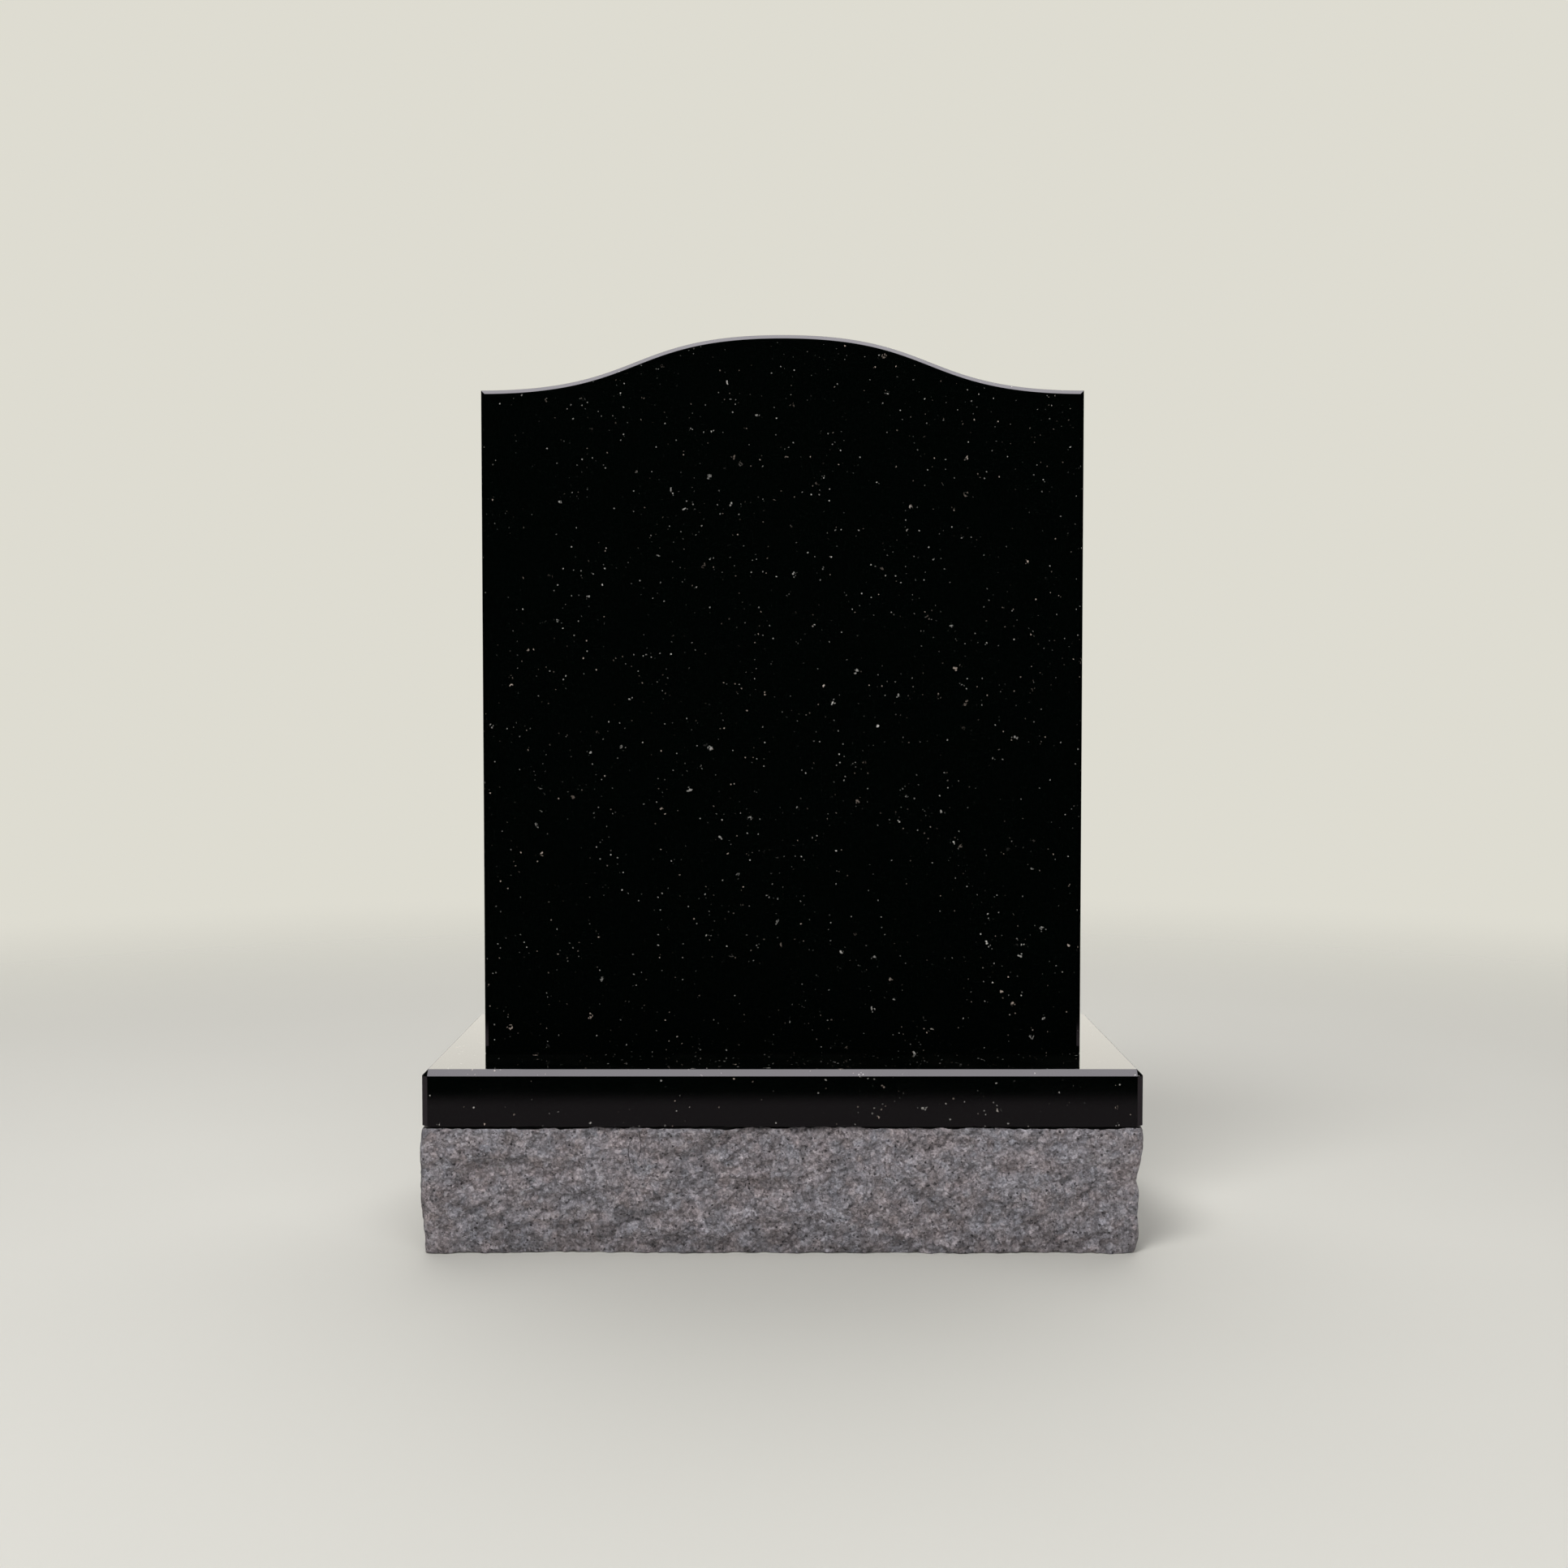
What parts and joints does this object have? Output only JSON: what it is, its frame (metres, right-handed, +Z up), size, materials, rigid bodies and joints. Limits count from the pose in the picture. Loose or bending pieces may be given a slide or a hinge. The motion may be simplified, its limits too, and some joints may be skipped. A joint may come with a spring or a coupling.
{
  "type": "headstone",
  "caption": "Upright headstone: a polished black tablet with a serpentine top on a polished slab and a rock-pitched grey granite footing, with blank faces.",
  "frame": {"origin": "middle of the footing's flat underside, where the stone rests on the ground", "axes": "+Z up; -Y is the side the tablet's inscription face looks to; X runs along the width"},
  "size_m": [0.706, 0.346, 0.9026],
  "materials": {
    "tablet_stone": "polished",
    "slab_stone": "polished",
    "footing_stone": "matte"
  },
  "bodies": {
    "root": {"serpentine_tablet": "tablet_stone", "polished_slab": "slab_stone", "rock_pitched_footing": "footing_stone"}
  },
  "joints": []
}
